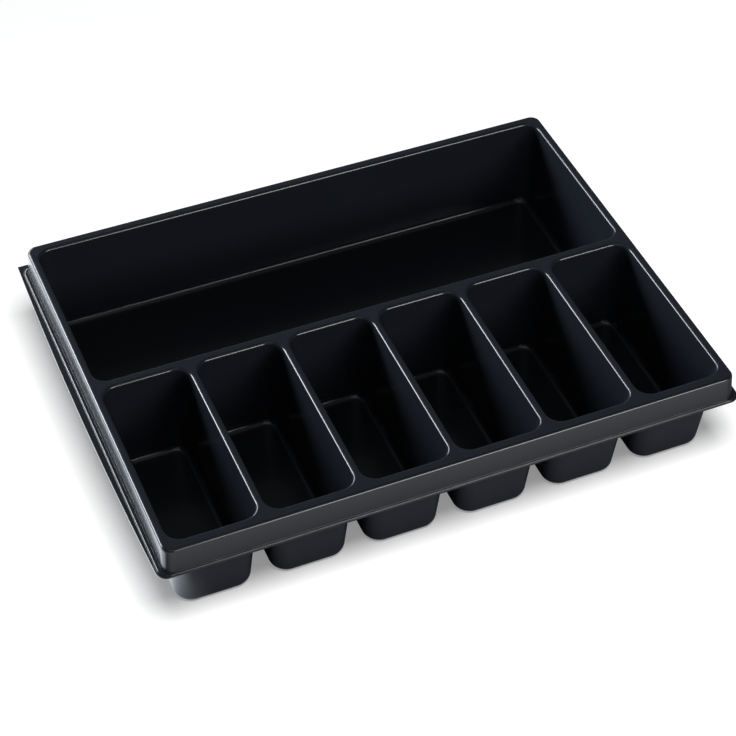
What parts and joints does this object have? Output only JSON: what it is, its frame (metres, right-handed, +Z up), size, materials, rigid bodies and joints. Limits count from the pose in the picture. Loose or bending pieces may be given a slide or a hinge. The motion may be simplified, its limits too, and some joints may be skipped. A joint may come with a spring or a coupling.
{
  "type": "divided plastic tray",
  "caption": "One-piece formed plastic tray with a row of narrow pockets, a long trough behind them and a stepped skirt with a trimmed flange.",
  "frame": {"origin": "centre of the trimmed outline in plan, on the plane that the undersides of the pockets and trough rest on", "axes": "+Z up, out of the pockets; +X along the row of pockets, to the right; +Y from the pockets towards the trough"},
  "size_m": [0.3866, 0.288, 0.066],
  "materials": {
    "tray_plastic": "black sheet with a soft gloss, faintly uneven from forming"
  },
  "bodies": {
    "root": {"tray": "tray_plastic"}
  },
  "joints": []
}
